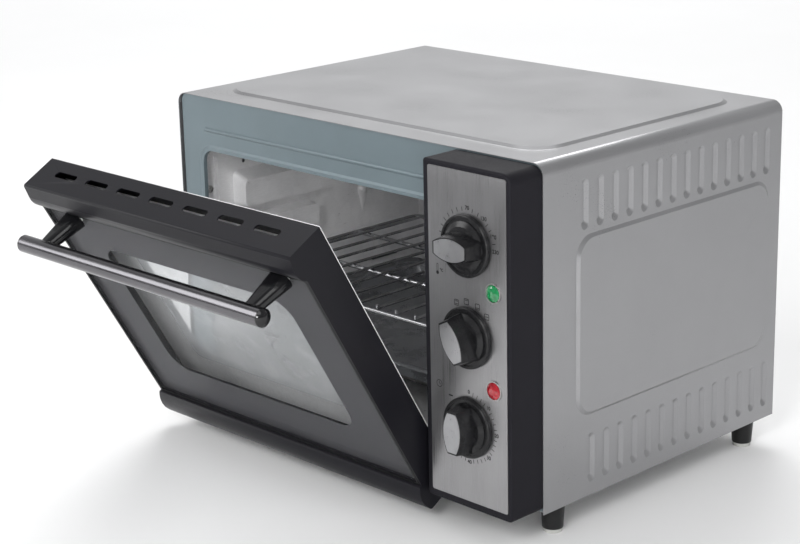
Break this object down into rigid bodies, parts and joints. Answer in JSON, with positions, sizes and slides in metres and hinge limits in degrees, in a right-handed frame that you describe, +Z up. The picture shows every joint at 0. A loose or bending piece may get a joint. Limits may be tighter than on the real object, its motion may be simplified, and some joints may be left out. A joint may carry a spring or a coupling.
{
  "type": "toaster oven",
  "caption": "Countertop toaster oven: wrapped sheet casing, drop-down glass door standing ajar, control column with knobs and pilot lamps, wire rack and baking tray inside.",
  "frame": {"origin": "centre of the underside of the bounding box with the door standing ajar as in the picture, on the plane the feet rest on", "axes": "+X to the right seen from the front, -Y out of the front, +Z up"},
  "size_m": [0.444, 0.5016, 0.312],
  "materials": {
    "casing_paint": "satin silver-grey paint",
    "frame_paint": "satin blue-grey paint",
    "galvanised": "dull galvanised sheet",
    "element_steel": "dark sheathed tube",
    "ceramic": "unglazed ceramic",
    "chrome_wire": "bright plated wire",
    "tray_enamel": "smooth grey enamel",
    "housing_plastic": "fine satin dark grey",
    "brushed_plate": "brushed along its height",
    "control_case": "moulded dark case",
    "zinc": "bright zinc",
    "knob_plastic": "satin black",
    "knob_silver": "satin silver insert",
    "green_lens": "faceted green",
    "red_lens": "faceted red",
    "lamp_rim": "thin silver rim",
    "door_paint": "satin charcoal",
    "door_glass": "clear with a printed grey border",
    "door_lining": "plain sheet",
    "handle_chrome": "dark bright plate",
    "handle_black": "gloss black",
    "foot_black": "moulded black",
    "pad_rubber": "pale soft pad"
  },
  "bodies": {
    "chassis": {"outer_casing": "casing_paint", "front_frame": "frame_paint", "hinge_brackets": "frame_paint", "rear_panel": "galvanised", "bottom_panel": "galvanised", "cavity_left_wall": "galvanised", "cavity_right_wall": "galvanised", "cavity_roof": "galvanised", "cavity_floor": "galvanised", "cavity_back_wall": "galvanised", "element_brackets": "galvanised", "sensor_clips": "galvanised", "upper_heating_elements": "element_steel", "lower_heating_elements": "element_steel", "sensor_bulb": "element_steel", "element_insulators": "ceramic", "terminal_block": "ceramic", "control_housing": "housing_plastic", "fascia_plate": "brushed_plate", "thermostat_body": "control_case", "function_switch_body": "control_case", "timer_body": "control_case", "lamp_holders": "control_case", "cord_gland": "control_case", "control_screws": "zinc", "foot_screws": "zinc", "casing_screws": "zinc", "liner_screws": "zinc", "hinge_pins": "zinc", "hinge_washers": "zinc", "timer_bell": "zinc", "power_lamp_lens": "green_lens", "heating_lamp_lens": "red_lens", "lamp_bezels": "lamp_rim", "feet": "foot_black", "foot_pads": "pad_rubber"},
    "door": {"door_frame": "door_paint", "door_bottom_rail": "door_paint", "door_outer_glass": "door_glass", "door_inner_panel": "door_lining", "door_inner_glass": "door_glass", "handle_tube": "handle_chrome", "handle_end_caps": "handle_black", "handle_standoffs": "handle_black", "handle_screws": "zinc"},
    "temperature_control": {"temperature_knob": "knob_plastic", "temperature_knob_face": "knob_silver", "temperature_shaft": "zinc"},
    "function_control": {"function_knob": "knob_plastic", "function_knob_face": "knob_silver", "function_shaft": "zinc"},
    "timer_control": {"timer_knob": "knob_plastic", "timer_knob_face": "knob_silver", "timer_shaft": "zinc"},
    "rack": {"wire_rack_frame": "chrome_wire", "wire_rack_rods": "chrome_wire"},
    "tray": {"baking_tray": "tray_enamel"}
  },
  "joints": [
    {"name": "door_hinge", "type": "hinge", "parent": "chassis", "child": "door", "pos_m": [-0.0465, -0.06969, 0.0294], "axis": [1, 0, 0], "range_deg": [-30, 50]},
    {"name": "temperature_turn", "type": "hinge", "parent": "chassis", "child": "temperature_control", "pos_m": [0.1748, -0.09719, 0.2464], "axis": [0, 1, 0], "range_deg": [0, 215]},
    {"name": "function_turn", "type": "hinge", "parent": "chassis", "child": "function_control", "pos_m": [0.1748, -0.09719, 0.1726], "axis": [0, 1, 0], "range_deg": [0, 66]},
    {"name": "timer_turn", "type": "hinge", "parent": "chassis", "child": "timer_control", "pos_m": [0.1748, -0.09719, 0.0984], "axis": [0, 1, 0], "range_deg": [-42, 270]},
    {"name": "rack_slide", "type": "slide", "parent": "chassis", "child": "rack", "axis": [0, -1, 0], "range_m": [-0.008, 0.014]},
    {"name": "tray_slide", "type": "slide", "parent": "chassis", "child": "tray", "axis": [0, -1, 0], "range_m": [-0.012, 0.016]}
  ]
}
